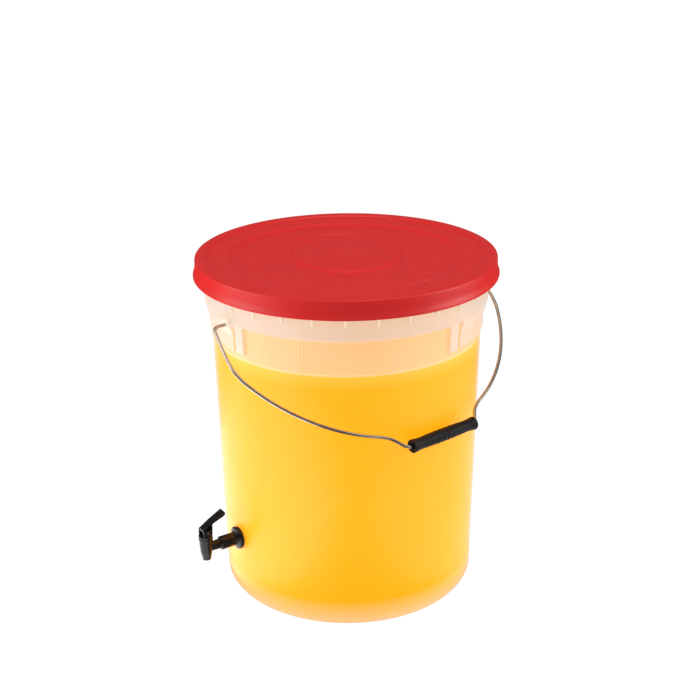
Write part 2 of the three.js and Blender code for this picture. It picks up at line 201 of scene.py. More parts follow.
@dataclass
class Place:
    """Where a drawing goes: three axes and an origin, in millimetres."""

    x: np.ndarray
    y: np.ndarray
    z: np.ndarray
    origin: np.ndarray

    def of(self, points: np.ndarray) -> np.ndarray:
        """The points, moved from the drawing to their place."""
        return points @ np.stack([self.x, self.y, self.z]) + self.origin


@dataclass
class Skin:
    """Grids of points gathered into one closed mesh."""

    points: list[np.ndarray] = field(default_factory=list)
    quads: list[np.ndarray] = field(default_factory=list)
    caps: list[np.ndarray] = field(default_factory=list)
    strands: list[np.ndarray] = field(default_factory=list)
    count: int = 0

    def grid(self, points: np.ndarray, wrap_u: bool = True, wrap_v: bool = True,
             capped: bool = False, strand: np.ndarray | None = None) -> None:
        """Adds a grid whose face normals point along u cross v.

        Args:
            points: a grid of u by v by 3.
            wrap_u: whether the last row of u joins the first.
            wrap_v: whether the last column of v joins the first.
            capped: whether a flat face closes each end of v.
            strand: one vector a point, for a pattern that follows the piece.
        """
        rows, columns = points.shape[:2]
        index = np.arange(rows * columns).reshape(rows, columns) + self.count
        if capped:
            self.caps += [index[::-1, 0], index[:, -1]]
        if wrap_u:
            index = np.vstack([index, index[:1]])
        if wrap_v:
            index = np.hstack([index, index[:, :1]])
        faces = [index[:-1, :-1], index[1:, :-1], index[1:, 1:], index[:-1, 1:]]
        self.quads.append(np.stack(faces, axis=-1).reshape(-1, 4))
        self.points.append(points.reshape(-1, 3))
        if strand is not None:
            self.strands.append(strand.reshape(-1, 3))
        self.count += rows * columns

    def made(self, name: str, sharp: float = 40) -> bpy.types.Object:
        """Writes the mesh in metres, welds its seams and poles, and shades it.

        Args:
            name: the piece's name.
            sharp: edges that turn by more than this stay crisp.

        Returns:
            The new object, at the origin.
        """
        loops = np.concatenate([np.concatenate(self.quads).ravel(), *self.caps])
        quad_count = sum(len(q) for q in self.quads)
        sizes = np.array([4] * quad_count + [len(c) for c in self.caps])
        starts = np.concatenate([[0], np.cumsum(sizes)[:-1]])
        mesh = bpy.data.meshes.new(name)
        mesh.vertices.add(self.count)
        mesh.vertices.foreach_set("co", (np.concatenate(self.points) * MM).ravel())
        mesh.loops.add(len(loops))
        mesh.loops.foreach_set("vertex_index", loops)
        mesh.polygons.add(len(sizes))
        mesh.polygons.foreach_set("loop_start", starts)
        mesh.update(calc_edges=True)
        if self.strands:
            layer = mesh.attributes.new("strand", "FLOAT_VECTOR", "POINT")
            layer.data.foreach_set("vector", (np.concatenate(self.strands) * MM).ravel())
        work = bmesh.new()
        work.from_mesh(mesh)
        bmesh.ops.remove_doubles(work, verts=work.verts, dist=1e-6)
        work.to_mesh(mesh)
        work.free()
        mesh.polygons.foreach_set("use_smooth", np.ones(len(mesh.polygons), bool))
        mesh.set_sharp_from_angle(angle=math.radians(sharp))
        piece = bpy.data.objects.new(name, mesh)
        bpy.context.scene.collection.objects.link(piece)
        return piece


# Finishes


def colour(code: str) -> tuple[float, float, float, float]:
    """An sRGB hex colour as linear light: ((c + .055) / 1.055)^2.4, or c / 12.92."""
    parts = [int(code[i:i + 2], 16) / 255 for i in (1, 3, 5)]
    linear = [c / 12.92 if c <= 0.04045 else ((c + 0.055) / 1.055) ** 2.4 for c in parts]
    return (*linear, 1.0)


def node(tree: bpy.types.NodeTree, kind: str, sockets: dict | None = None,
         **settings) -> bpy.types.Node:
    """Adds a node with its settings, values and links.

    Args:
        tree: the node tree.
        kind: the node's type.
        sockets: input name or number to a value, or to the output it is linked from.
        settings: the node's own settings.

    Returns:
        The new node.
    """
    made = tree.nodes.new(kind)
    for key, value in settings.items():
        setattr(made, key, value)
    for key, value in (sockets or {}).items():
        if isinstance(value, bpy.types.NodeSocket):
            tree.links.new(value, made.inputs[key])
        else:
            made.inputs[key].default_value = value
    return made


class Slot(Enum):
    """The record's material slots."""

    NATURAL = "natural_plastic"
    RED = "red_plastic"
    SEAL = "seal_rubber"
    WIRE = "zinc_wire"
    BLACK = "black_plastic"
    WASHER = "washer_rubber"
    SPRING = "spring_steel"


@dataclass(frozen=True)
class Finish:
    """What every finish shares: a name and a new node tree with one Principled."""

    name: str

    def begun(self) -> tuple[bpy.types.Material, bpy.types.NodeTree, bpy.types.Node]:
        """A new material, its tree, and its Principled shader."""
        material = bpy.data.materials.new(self.name)
        material.use_nodes = True
        tree = material.node_tree
        return material, tree, tree.nodes["Principled BSDF"]


@dataclass(frozen=True)
class Milkiness:
    """How one zone of the translucent wall looks.

    tint is what it scatters; glow, painted light, is emitted in place of light that came in
    elsewhere and leaves here; cover is how much one face of the wall hides what is behind it.
    """

    tint: str
    # Painted light: an emitted colour standing in for light scattered through the wall.
    painted_glow: str
    cover: float


@dataclass(frozen=True)
class NaturalPolyethylene(Finish):
    """Natural polyethylene, injection moulded.

    Unpigmented, so light goes through it and is scattered on the way: a thin wall
    looks milky and a rib or a doubled wall whiter. Where the drink stands against it,
    it carries the drink's colour. IOR 1.51, satin from the mould, whose grain is drawn
    coarser than life so that it shows.
    """

    # Each zone's second colour is painted light, emitted by the wall in place of light scattered
    # through it and through the drink.
    band: Milkiness = Milkiness("#e4bfa1", "#ab8959", 0.55)
    collar: Milkiness = Milkiness("#a4b2c6", "#b39868", 0.62)
    rib: Milkiness = Milkiness("#bfbfc6", "#b39688", 0.68)
    # The web zone's paler tint and brighter glow are partly the whiter look of thick plastic and
    # partly painted light that lifts the shade on the webs' side faces.
    web: Milkiness = Milkiness("#c8c8c8", "#c0ae96", 0.62)
    froth: Milkiness = Milkiness("#f3dcb4", "#b18c50", 0.70)
    wet: Milkiness = Milkiness("#e69204", "#b88a00", 0.5)
    shallow: Milkiness = Milkiness("#ecac3c", "#b8902a", 0.7)
    foot: Milkiness = Milkiness("#eccba4", "#b19468", 0.85)
    shallow_depth: float = 16.0
    collar_line: float = 338.0
    foot_height: float = 30.0
    rib_proud: tuple[float, float] = (0.3, 2.4)
    web_proud: tuple[float, float] = (6.4, 6.8)
    froth_rise: float = 1.1
    froth_half: float = 1.6
    flow_size: float = 35.0
    grain_size: float = 0.9

    def zones(self, tree: bpy.types.NodeTree, place: bpy.types.NodeSocket, wall_radius: float,
              taper: float, fill_line: float) -> tuple[tuple, ...]:
        """The zones of the wall, each lying over the ones before it.

        A point's height is z, and it stands proud of the plain wall by
        sqrt(x^2 + y^2) - (wall_radius + taper z), as ribs, plates and braces do.

        Args:
            tree: the material's nodes.
            place: Object coordinates.
            wall_radius: outer radius of the wall at its foot, in millimetres.
            taper: growth of that radius with height.
            fill_line: height of the drink's surface, in millimetres.

        Returns:
            Rows of a measure, where it gives nothing of the zone, where it gives the
            whole of it, how much the whole is, and the zone.
        """
        z = node(tree, "ShaderNodeSeparateXYZ", {0: place}).outputs["Z"]
        flat = node(tree, "ShaderNodeVectorMath", {0: place, 1: (1, 1, 0)},
                    operation="MULTIPLY").outputs[0]
        radius = node(tree, "ShaderNodeVectorMath", {0: flat}, operation="LENGTH").outputs[1]
        cone = node(tree, "ShaderNodeMath", {0: z, 1: taper, 2: wall_radius * MM},
                    operation="MULTIPLY_ADD").outputs[0]
        proud = node(tree, "ShaderNodeMath", {0: radius, 1: cone},
                     operation="SUBTRACT").outputs[0]
        # Froth and drips leave a thin pale line where the drink's surface meets the wall.
        above = node(tree, "ShaderNodeMath", {0: z, 1: (fill_line + self.froth_rise) * MM},
                     operation="SUBTRACT").outputs[0]
        near = node(tree, "ShaderNodeMath", {0: above}, operation="ABSOLUTE").outputs[0]
        top = self.collar_line
        dry, wetted = fill_line + 0.4, fill_line - 0.4
        return (
            (proud, *self.rib_proud, 0.9, self.rib),
            (z, top, top + 1, 1.0, self.collar),
            # Partly painted light: the webs are made paler to lift the shade on their side faces.
            (proud, *self.web_proud, 1.0, self.web),
            (near, self.froth_half, 0.2, 0.55, self.froth),
            (z, dry, wetted, 1.0, self.shallow),
            (z, wetted, wetted - self.shallow_depth, 1.0, self.wet),
            (z, self.foot_height, 1.0, 0.9, self.foot),
        )

    def make(self, wall_radius: float, taper: float, fill_line: float) -> bpy.types.Material:
        """The material.

        Args:
            wall_radius: outer radius of the wall at its foot, in millimetres.
            taper: growth of that radius with height.
            fill_line: height of the drink's surface, in millimetres.

        Returns:
            The material.
        """
        material, tree, shader = self.begun()
        place = node(tree, "ShaderNodeTexCoord").outputs["Object"]
        tint, painted_glow, cover = colour(self.band.tint), colour(self.band.painted_glow), self.band.cover
        for measure, nothing, whole, most, zone in self.zones(tree, place, wall_radius, taper,
                                                              fill_line):
            part = node(tree, "ShaderNodeMapRange",
                        {0: measure, 1: nothing * MM, 2: whole * MM, 3: 0.0,
                         4: most}).outputs[0]
            tint = node(tree, "ShaderNodeMix",
                        {"Factor": part, "A": tint, "B": colour(zone.tint)},
                        data_type="RGBA").outputs["Result"]
            # The emitted colour, painted light, is blended zone by zone like the tint.
            painted_glow = node(tree, "ShaderNodeMix",
                        {"Factor": part, "A": painted_glow, "B": colour(zone.painted_glow)},
                        data_type="RGBA").outputs["Result"]
            cover = node(tree, "ShaderNodeMix",
                         {"Factor": part, "A": cover, "B": zone.cover}).outputs[0]
        flow = node(tree, "ShaderNodeTexNoise",
                    {"Vector": place, "Scale": 1 / (self.flow_size * MM), "Detail": 3.0})
        # The melt's flow leaves the wall a little clearer and duller in drifts.
        cloud = node(tree, "ShaderNodeMapRange",
                     {0: flow.outputs["Fac"], 1: NOISE_LOW, 2: NOISE_HIGH, 3: -0.02, 4: 0.03})
        cover = node(tree, "ShaderNodeMath", {0: cover, 1: cloud.outputs[0]}).outputs[0]
        grain = node(tree, "ShaderNodeTexNoise",
                     {"Vector": place, "Scale": 1 / (self.grain_size * MM), "Detail": 2.0})
        bump = node(tree, "ShaderNodeBump",
                    {"Strength": 0.04, "Distance": 0.05 * MM, "Height": grain.outputs["Fac"]})
        rough = node(tree, "ShaderNodeMapRange",
                     {0: flow.outputs["Fac"], 1: NOISE_LOW, 2: NOISE_HIGH, 3: 0.36, 4: 0.46})
        tree.links.new(tint, shader.inputs["Base Color"])
        # Painted light: the wall emits its zones' glow colours.
        tree.links.new(painted_glow, shader.inputs["Emission Color"])
        shader.inputs["Emission Strength"].default_value = 1.0
        tree.links.new(cover, shader.inputs["Alpha"])
        tree.links.new(rough.outputs[0], shader.inputs["Roughness"])
        tree.links.new(bump.outputs[0], shader.inputs["Normal"])
        shader.inputs["IOR"].default_value = 1.51
        shader.inputs["Sheen Weight"].default_value = 1.0
        shader.inputs["Sheen Roughness"].default_value = 0.3
        shader.inputs["Sheen Tint"].default_value = colour("#fff4e4")
        return material


@dataclass(frozen=True)
class CloudyDrink(Finish):
    """Fruit drink with fine pulp, poured.

    Deep yellow and opaque within a few millimetres, with drifts of denser pulp and
    a wet surface. IOR 1.34, roughness near a still liquid's.
    """

    light: str = "#e8a20a"
    deep: str = "#e69606"
    # Painted light: the drink emits this colour, standing in for light that reaches it through the
    # wall.
    painted_glow: str = "#f0b00a"
    drift_size: float = 60.0

    def make(self) -> bpy.types.Material:
        """The material."""
        material, tree, shader = self.begun()
        place = node(tree, "ShaderNodeTexCoord").outputs["Object"]
        drift = node(tree, "ShaderNodeTexNoise",
                     {"Vector": place, "Scale": 1 / (self.drift_size * MM), "Detail": 4.0})
        tint = node(tree, "ShaderNodeMix",
                    {"Factor": drift.outputs["Fac"], "A": colour(self.light),
                     "B": colour(self.deep)}, data_type="RGBA")
        tree.links.new(tint.outputs["Result"], shader.inputs["Base Color"])
        shader.inputs["Roughness"].default_value = 0.22
        shader.inputs["IOR"].default_value = 1.34
        # Painted light: an emission standing in for light reaching the drink through the wall.
        shader.inputs["Emission Color"].default_value = colour(self.painted_glow)
        shader.inputs["Emission Strength"].default_value = 1.0
        return material


@dataclass(frozen=True)
class MouldedPlastic(Finish):
    """Pigmented plastic, injection moulded.

    Flow from the gate leaves faint drifts in the colour and the gloss, and the
    mould's spark-eroded face leaves a fine grain, drawn coarser than life so that it
    shows.
    """

    tint: str
    drift_tint: str
    gloss: tuple[float, float]
    drift_size: float
    grain_size: float
    grain_depth: float
    ior: float = 1.5
    shine: float = 0.5

    def make(self) -> bpy.types.Material:
        """The material."""
        material, tree, shader = self.begun()
        place = node(tree, "ShaderNodeTexCoord").outputs["Object"]
        drift = node(tree, "ShaderNodeTexNoise",
                     {"Vector": place, "Scale": 1 / (self.drift_size * MM), "Detail": 3.0})
        tint = node(tree, "ShaderNodeMix",
                    {"Factor": drift.outputs["Fac"], "A": colour(self.tint),
                     "B": colour(self.drift_tint)}, data_type="RGBA")
        rough = node(tree, "ShaderNodeMapRange",
                     {0: drift.outputs["Fac"], 1: NOISE_LOW, 2: NOISE_HIGH, 3: self.gloss[0],
                      4: self.gloss[1]})
        grain = node(tree, "ShaderNodeTexNoise",
                     {"Vector": place, "Scale": 1 / (self.grain_size * MM), "Detail": 2.0})
        bump = node(tree, "ShaderNodeBump",
                    {"Strength": 0.5, "Distance": self.grain_depth * MM,
                     "Height": grain.outputs["Fac"]})
        tree.links.new(tint.outputs["Result"], shader.inputs["Base Color"])
        tree.links.new(rough.outputs[0], shader.inputs["Roughness"])
        tree.links.new(bump.outputs[0], shader.inputs["Normal"])
        shader.inputs["IOR"].default_value = self.ior
        shader.inputs["Specular IOR Level"].default_value = self.shine
        return material


@dataclass(frozen=True)
class DrawnWire(Finish):
    """Zinc-plated steel wire, drawn.

    The die leaves streaks along the wire, about 20 mm long, that show in its
    brightness and its gloss. They lie 0.4 mm apart in life and are drawn 0.8 mm apart
    so that they show, and they follow the piece's strand attribute.
    """

    # Both colours are warmer than bare zinc: partly painted reflection of the yellow drink; the
    # streaks between them are the wire's own.
    bright: str = "#cfc6b8"
    dull: str = "#94886f"
    streak_width: float = 0.8
    streak_length: float = 20.0

    def make(self) -> bpy.types.Material:
        """The material."""
        material, tree, shader = self.begun()
        strand = node(tree, "ShaderNodeAttribute", attribute_name="strand")
        along, around = 1 / (self.streak_length * MM), 1 / (self.streak_width * MM)
        stretch = node(tree, "ShaderNodeVectorMath",
                       {0: strand.outputs["Vector"], 1: (along, around, around)},
                       operation="MULTIPLY")
        streak = node(tree, "ShaderNodeTexNoise",
                      {"Vector": stretch.outputs[0], "Scale": 1.0, "Detail": 3.0})
        tint = node(tree, "ShaderNodeMix",
                    {"Factor": streak.outputs["Fac"], "A": colour(self.bright),
                     "B": colour(self.dull)}, data_type="RGBA")
        rough = node(tree, "ShaderNodeMapRange",
                     {0: streak.outputs["Fac"], 1: NOISE_LOW, 2: NOISE_HIGH, 3: 0.18, 4: 0.34})
        bump = node(tree, "ShaderNodeBump",
                    {"Strength": 0.3, "Distance": 0.01 * MM, "Height": streak.outputs["Fac"]})
        tree.links.new(tint.outputs["Result"], shader.inputs["Base Color"])
        tree.links.new(rough.outputs[0], shader.inputs["Roughness"])
        tree.links.new(bump.outputs[0], shader.inputs["Normal"])
        shader.inputs["Metallic"].default_value = 1.0
        return material


@dataclass(frozen=True)
class SpringSteel(Finish):
    """Stainless spring steel, drawn and polished.

    A pale metal with a fine, uneven polish. Roughness about 0.25.
    """

    tint: str = "#c9c9c6"
    polish_size: float = 0.6

    def make(self) -> bpy.types.Material:
        """The material."""
        material, tree, shader = self.begun()
        place = node(tree, "ShaderNodeTexCoord").outputs["Object"]
        polish = node(tree, "ShaderNodeTexNoise",
                      {"Vector": place, "Scale": 1 / (self.polish_size * MM), "Detail": 2.0})
        rough = node(tree, "ShaderNodeMapRange",
                     {0: polish.outputs["Fac"], 1: NOISE_LOW, 2: NOISE_HIGH, 3: 0.2, 4: 0.32})
        tree.links.new(rough.outputs[0], shader.inputs["Roughness"])
        shader.inputs["Base Color"].default_value = colour(self.tint)
        shader.inputs["Metallic"].default_value = 1.0
        return material


class Finishes:
    """Every finish on the bucket, each made once."""

    def __init__(self) -> None:
        """Makes the materials."""
        self.tub = NaturalPolyethylene("natural_polyethylene_moulded")
        self.drink = CloudyDrink("cloudy_fruit_drink").make()
        # Polyethylene: IOR 1.51, a broad soft sheen from a blasted mould.
        self.red = MouldedPlastic(
            "red_polyethylene_moulded", "#e41c19", "#de1916", (0.36, 0.46), 70, 0.8, 0.03,
            1.51).make()
        # Polypropylene: IOR 1.49, glossier, with the fine grain of a small fitting.
        self.black = MouldedPlastic(
            "black_polypropylene_moulded", "#121111", "#191817", (0.2, 0.3), 12, 0.5, 0.02,
            1.49, 0.3).make()
        # A softer, duller grade for the hand, with a coarser spark grain.
        self.grip = MouldedPlastic(
            "black_grip_polypropylene_moulded", "#0c0c0b", "#131211", (0.45, 0.57), 15, 0.7,
            0.04, 1.49, 0.25).make()
        # Nitrile: IOR 1.52, dull, with a dusty bloom in drifts.
        self.washer = MouldedPlastic(
            "black_nitrile_rubber_pressed", "#191919", "#2a2a29", (0.62, 0.8), 6, 0.6, 0.03,
            1.52).make()
        self.seal = MouldedPlastic(
            "white_silicone_rubber_pressed", "#e9e6df", "#dcd8cf", (0.5, 0.65), 10, 0.6, 0.02,
            1.41).make()
        self.wire = DrawnWire("zinc_plated_steel_wire_drawn").make()
        self.spring = SpringSteel("stainless_spring_steel_drawn").make()


def fitted(piece: bpy.types.Object, finish: bpy.types.Material, body: str, slot: Slot | None,
           *stands_for: str) -> bpy.types.Object:
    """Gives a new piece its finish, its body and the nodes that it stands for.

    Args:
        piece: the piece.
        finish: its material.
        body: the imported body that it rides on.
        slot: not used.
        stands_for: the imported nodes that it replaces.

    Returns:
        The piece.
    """
    piece.data.materials.clear()
    piece.data.materials.append(finish)
    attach(piece, body)
    if stands_for:
        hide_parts(*stands_for)
    LOG.info("%s: %d faces, on body %s", piece.name, len(piece.data.polygons), body)
    return piece


def carried(part: bpy.types.Object, finish: bpy.types.Material) -> None:
    """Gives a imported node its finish, on each of its material slots."""
    for place in part.material_slots:
        place.material = finish
    LOG.info("%s: kept as packed", part.name)


# The bucket


class Rib(Enum):
    """How a raised strip on the wall is shaped, bottom to top: heights and radii."""

    PLATE = ((306.0, 148.7), (306.8, 151.3), (322.0, 151.5), (333.0, 154.8), (338.0, 155.9))
    BRACE = ((304.5, 148.7), (307.0, 152.6), (338.0, 154.0))
    RIDGE = ((296.0, 148.1), (297.0, 149.87), (338.0, 150.5))


@dataclass
class Tub:
    """The tub: a thin tapered wall, a stepped collar, and a rim turned down outside."""

    base_radius: float = 144.6
    taper: float = 0.0154
    wall_thickness: float = 2.0
    base_thickness: float = 2.6
    relief_inner: float = 118.0
    relief_outer: float = 124.0
    relief_depth: float = 1.0
    collar_radius: float = 156.2
    collar_thickness: float = 2.2
    collar_height: float = 338.4
    rim_height: float = 378.8
    rim_thickness: float = 2.2
    lip_radius: float = 162.0
    lip_drop: float = 7.3
    lip_thickness: float = 2.0
    web_count: int = 30
    web_thickness: float = 1.6
    web_foot: float = 352.0
    pivot_height: float = 337.0
    boss_radius: float = 5.6
    boss_reach: float = 160.0
    boss_hole: float = 2.2
    pad_hole: float = 8.35
    pad_radius: float = 15.0
    strips: tuple[tuple[Rib, float, float], ...] = (
        *((Rib.PLATE, a, 39.0) for a in (51.5, 231.5)),
        *((Rib.BRACE, a, 2.2) for a in (8.0, 95.0, 188.0, 275.0)),
        *((Rib.RIDGE, a + s, 0.3) for a in (-56.5, -27.0, 123.5, 153.0) for s in (-0.8, 0.8)),
    )

    def wall(self, height: float | np.ndarray) -> float | np.ndarray:
        """Outer radius of the plain wall: its foot's radius plus taper times height."""
        return self.base_radius + self.taper * height

    def azimuths(self) -> np.ndarray:
        """Even directions, with a close pair at each strip's edge so that it is crisp."""
        edges = np.array([a + s * h for _, a, h in self.strips for s in (-1, 1)])
        close = np.concatenate([edges - 0.05, edges + 0.05]) % 360
        return np.unique(np.round(np.concatenate([np.arange(0, 360, 1.5), close]), 4))

    def outside(self, azimuths: np.ndarray, heights: np.ndarray) -> np.ndarray:
        """Radius of the outside: the largest of the wall and each strip that is there.

        Args:
            azimuths: directions, in degrees.
            heights: heights up the wall.

        Returns:
            Radii on a grid of azimuth by height.
        """
        radius = np.tile(self.wall(heights), (len(azimuths), 1))
        for rib, centre, half in self.strips:
            off = np.abs((azimuths - centre + 180) % 360 - 180)
            z, r = np.array(rib.value).T
            raised = np.interp(heights, z, r, left=0, right=0)
            radius = np.maximum(radius, np.where(off[:, None] < half, raised[None], 0))
        return radius

    def shell(self, skin: Skin) -> None:
        """The wall, base and collar: one closed profile whose outside bears the strips."""
        around = self.azimuths()
        near, far, depth = self.relief_inner, self.relief_outer, self.relief_depth
        foot = rounded([
            (0, 0, 0), (near, 0, 0.8), (near + 1, depth, 0.7), (far - 1, depth, 0.7),
            (far, 0, 0.8), (self.base_radius, 0, 6), (self.wall(8), 8, 0.2),
        ], 7)
        # Rows 18 mm apart up the plain wall, then 1 mm apart over the strips.
        strip_top = 338.0
        fine = np.arange(295.5, strip_top, 1.0)
        key = [h for rib in Rib for h, _ in rib.value if h < strip_top]
        heights = np.unique(np.concatenate(
            [np.arange(20, 291, 18), fine, key, [strip_top - 0.3]]))
        radii = self.outside(around, heights)
        band = turned(np.stack([0 * heights + 1, heights], axis=1), around)
        band[..., :2] *= radii[..., None]
        collar, lip, rim, t = (self.collar_radius, self.lip_radius, self.rim_height,
                               self.wall_thickness)
        under, step = rim - self.rim_thickness, self.collar_height
        inner, lip_inner = collar - self.collar_thickness, lip - self.lip_thickness
        top = rounded([
            (collar - 0.6, step - 0.5, 0), (collar, step, 0.3), (collar, under, 1.2),
            (lip_inner, under, 0.5), (lip_inner, rim - self.lip_drop, 0.3),
            (lip, rim - self.lip_drop, 0.5), (lip, rim, 1.2), (inner, rim, 1.2),
            (inner, step + 2.2, 1.6), (self.wall(step) - t, step + 1.4, 1.4),
            (self.wall(150) - t, 150, 1.0),
            (self.wall(0) - t, self.base_thickness, 5.0), (0, self.base_thickness, 0),
        ])
        parts = [turned(foot, around), band, turned(top, around)]
        skin.grid(np.concatenate(parts, axis=1), wrap_v=False)

    def webs(self, skin: Skin) -> None:
        """Upright webs under the rim: one rounded slab, repeated round the collar."""
        r, lip = self.collar_radius + 0.02, self.lip_radius - 1
        foot, head = self.web_foot, self.rim_height - self.rim_thickness
        outline = rounded([
            (r, foot, 0.2), (r + 0.6, foot + 1, 0.5), (lip, foot + 15, 1.5), (lip, head, 0.1),
            (r, head, 0.1),
        ], 4, closed=True)
        half = self.web_thickness / 2
        flat = slab(outline, -half, half, 0.35)
        for azimuth in (np.arange(self.web_count) + 0.75) * 360 / self.web_count:
            a = math.radians(azimuth)
            out = np.array([math.sin(a), -math.cos(a), 0])
            up = np.array([0, 0, 1])
            skin.grid(Place(np.cross(out, up), out, up, np.zeros(3)).of(flat),
                      wrap_v=False, capped=True)

    def bosses(self, skin: Skin) -> None:
        """A hollow boss at each end of the X axis, turned about the pivot line."""
        root = self.wall(self.pivot_height) - 1
        outline = rounded([
            (0, root, 0), (self.boss_radius + 0.8, root, 0.2), (self.boss_radius, root + 2.4, 0.8),
            (self.boss_radius, self.boss_reach, 0.8), (self.boss_hole, self.boss_reach, 0.3),
            (self.boss_hole, root + 2, 0.3), (0, root + 2, 0),
        ])
        drawing = turned(outline, full_circle(48))
        centre = np.array([0, 0, self.pivot_height])
        for side in (1, -1):
            skin.grid(Place(np.array([0, side, 0]), np.array([0, 0, 1]),
                            np.array([side, 0, 0]), centre).of(drawing), wrap_v=False)

    def tap_pad(self, skin: Skin, place: Place) -> None:
        """A flat ring round the tap's hole, thicker than the wall."""
        hole, edge = self.pad_hole, self.pad_radius
        outline = rounded([
            (hole, -4, 0.4), (edge, -4, 0.8), (edge, 1, 0.6), (hole, 1, 0.3),
        ], 4, closed=True)
        skin.grid(place.of(turned(outline, full_circle(64))))

    def build(self, finishes: Finishes, tap_place: Place, fill_line: float) -> None:
        """Makes the tub and dresses it.

        Args:
            finishes: the materials.
            tap_place: the place of a drawing that is turned about the tap's shank.
            fill_line: height of the drink's surface.
        """
        skin = Skin()
        self.shell(skin)
        self.webs(skin)
        self.bosses(skin)
        self.tap_pad(skin, tap_place)
        finish = finishes.tub.make(self.base_radius, self.taper, fill_line)
        fitted(skin.made("tub_wall"), finish, "bucket", Slot.NATURAL, "bucket_body")


@dataclass
class Drink:
    """The drink: a filling inside the wall, with its edge drawn up where it wets it."""

    surface: float = 297.8
    clearance: float = 0.12
    creep: float = 1.6

    def build(self, tub: Tub, finishes: Finishes) -> None:
        """Makes the drink and dresses it."""
        inner = tub.wall_thickness + self.clearance
        low = tub.base_thickness + self.clearance
        top = self.surface
        edge = tub.wall(top) - inner
        outline = rounded([
            (0, low, 0), (tub.wall(0) - inner, low, 5), (tub.wall(150) - inner, 150, 1),
            (edge, top + self.creep, 0.1), (edge - 1, top + 0.3, 0.9), (edge - 6, top, 2),
            (70, top, 1), (0, top, 0),
        ])
        skin = Skin()
        skin.grid(turned(outline, full_circle(192)), wrap_v=False)
        fitted(skin.made("drink"), finishes.drink, "bucket", None)


@dataclass
class Lid:
    """The lid: stepped rings on top, a plug inside the rim and a flared skirt outside."""

    top: float = 384.0
    radius: float = 165.0
    skirt_radius: float = 167.6
    skirt_foot: float = 364.2
    thickness: float = 2.0
    plug_radius: float = 153.3
    plug_foot: float = 367.9
    bead_radius: float = 162.3
    bead_height: float = 370.2
    panel_drop: float = 4.4
    band_radius: float = 126.4
    band_rise: float = 2.6
    ring_radius: float = 88.0
    ring_drop: float = 0.8
    centre_radius: float = 60.0
    centre_rise: float = 1.5

    @staticmethod
    def groove(radius: float, surface: float) -> list[tuple[float, float, float]]:
        """A fine groove that the mould's insert leaves, 1 mm wide and 0.5 mm deep."""
        return [(radius + 0.5, surface, 0.15), (radius + 0.2, surface - 0.5, 0.15),
                (radius - 0.2, surface - 0.5, 0.15), (radius - 0.5, surface, 0.15)]

    def build(self, finishes: Finishes) -> None:
        """Makes the lid and dresses it."""
        top, t, panel = self.top, self.thickness, self.top - self.panel_drop
        band, floor = panel + self.band_rise, panel - self.ring_drop
        edge, plug, bead = self.radius, self.plug_radius, self.bead_height
        skirt, foot = self.skirt_radius, self.skirt_foot
        below = [
            (0, panel - 0.6 - t, 0), (self.ring_radius - 1, panel - 0.6 - t, 0.8),
            (self.ring_radius, panel - t, 0.4), (self.band_radius - 1.5, panel - t, 1.5),
            (self.band_radius + 1, band - t, 1.5), (plug - t, band - t, 1.5),
            (plug - t, self.plug_foot, 0.6), (plug, self.plug_foot, 0.7), (plug, top - t, 1.0),
            (edge - 1.9, top - t, 1.2), (edge - 1.9, bead + 0.9, 0.4),
            (self.bead_radius, bead, 0.4), (edge - 1.7, bead - 1, 0.4), (skirt - 2.1, foot, 0.5),
        ]
        outside = [
            (skirt, foot, 0.7), (skirt, foot + 2.2, 0.6), (edge + 0.7, bead + 0.4, 1.6),
            (edge + 0.3, bead + 5.3, 2.2), (edge, top, 1.7), (plug + 1.2, top, 0.7),
        ]
        rings = [
            (plug - 0.6, band, 0.5), *self.groove(self.band_radius + 0.6, band),
            (self.band_radius - 0.6, band, 0.4), (self.band_radius - 5.4, panel, 1.6),
            (self.ring_radius, panel, 0.3), (self.ring_radius - 0.8, floor, 0.3),
            *self.groove(self.centre_radius + 1.2, floor), (self.centre_radius, floor, 0.3),
            (self.centre_radius - 4.6, panel + self.centre_rise, 0.9),
            (0, panel + self.centre_rise, 0),
        ]
        outline = rounded([*below, *outside, *rings])
        skin = Skin()
        skin.grid(turned(outline, full_circle(288)), wrap_v=False)
        fitted(skin.made("lid_moulding", 60), finishes.red, "lid", Slot.RED, "lid")


